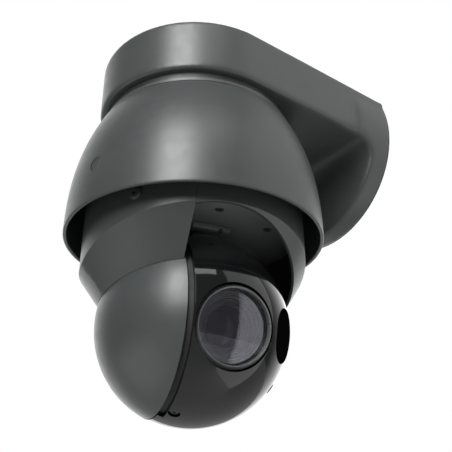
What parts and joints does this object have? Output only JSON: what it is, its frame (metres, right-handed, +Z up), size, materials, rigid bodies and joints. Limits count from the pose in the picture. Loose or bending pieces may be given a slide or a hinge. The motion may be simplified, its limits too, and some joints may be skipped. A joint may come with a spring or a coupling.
{
  "type": "ptz camera",
  "caption": "Outdoor pan-tilt-zoom camera on a wall arm: a bell-shaped sunshield over a rotating housing that carries a ball-shaped tilting camera head.",
  "frame": {"origin": "middle of the four wall bolts, on the wall plane", "axes": "+Z up, the wall is the plane y = 0, and the camera stands out along -Y"},
  "size_m": [0.221, 0.2765, 0.324],
  "materials": {
    "housing_grey": "satin powder coat",
    "cap_grey": "matte powder coat",
    "gloss_black": "polished black",
    "soft_black": "fine matte",
    "seal_rubber": "matte",
    "belt_rubber": "matte, fabric backed",
    "collar_metal": "satin",
    "cast_alloy": "cast and machined",
    "machined_steel": "turned",
    "screw_dark": "blackened",
    "screw_bright": "plated",
    "motor_black": "satin black",
    "board_green": "solder mask",
    "lens_glass": "coated",
    "lens_element": "coated",
    "sensor_window": "tinted"
  },
  "bodies": {
    "wall_mount": {"bracket": "housing_grey", "wall_plate": "cast_alloy", "wall_gasket": "seal_rubber", "bracket_screws": "screw_dark", "cable_gland": "soft_black", "neck": "soft_black", "collar_ring": "collar_metal", "bell": "housing_grey", "bell_plugs": "soft_black", "base_plate": "cast_alloy", "base_screws": "screw_bright", "pan_bearing": "machined_steel", "pan_motor": "motor_black", "pan_belt": "belt_rubber", "slip_ring": "motor_black", "main_board": "board_green"},
    "pan_unit": {"pan_shaft": "machined_steel", "pan_pulley": "machined_steel", "pan_housing": "housing_grey", "side_cover": "housing_grey", "cover_screws": "screw_dark", "ceiling_plate": "soft_black", "ceiling_screws": "screw_dark", "stop_block": "soft_black", "tilt_arm": "cast_alloy", "arm_cap": "cap_grey", "tilt_bearing": "machined_steel", "tilt_motor": "motor_black", "tilt_belt": "belt_rubber", "drive_board": "board_green"},
    "head": {"tilt_shaft": "machined_steel", "tilt_pulley": "machined_steel", "head_frame": "cast_alloy", "front_cover": "gloss_black", "rear_shell": "cap_grey", "slot_seal": "seal_rubber", "head_screws": "screw_dark", "side_window": "sensor_window", "lens_bezel": "soft_black", "lens_glass": "lens_glass", "lens_barrel": "soft_black", "front_element": "lens_element", "inner_element": "lens_element", "zoom_block": "motor_black", "sensor_board": "board_green"},
    "pan_drive": {"pan_pinion": "machined_steel"},
    "tilt_drive": {"tilt_pinion": "machined_steel"}
  },
  "joints": [
    {"name": "pan", "type": "hinge", "parent": "wall_mount", "child": "pan_unit", "pos_m": [0, -0.166, -0.0725], "axis": [0, 0, 1], "continuous": true},
    {"name": "tilt", "type": "hinge", "parent": "pan_unit", "child": "head", "pos_m": [0, -0.166, -0.2145], "axis": [0.2351, 0.972, 0], "range_deg": [-34, 76]},
    {"name": "pan_motor_turn", "type": "hinge", "parent": "wall_mount", "child": "pan_drive", "pos_m": [0, -0.12, -0.028], "axis": [0, 0, 1], "continuous": true},
    {"name": "tilt_motor_turn", "type": "hinge", "parent": "pan_unit", "child": "tilt_drive", "pos_m": [-0.01176, -0.2146, -0.1685], "axis": [0.2351, 0.972, 0], "range_deg": [-108, 240]}
  ],
  "couplings": [
    {"joint": "pan_motor_turn", "follows": "pan", "ratio": 3.7778},
    {"joint": "tilt_motor_turn", "follows": "tilt", "ratio": 3.1429}
  ]
}
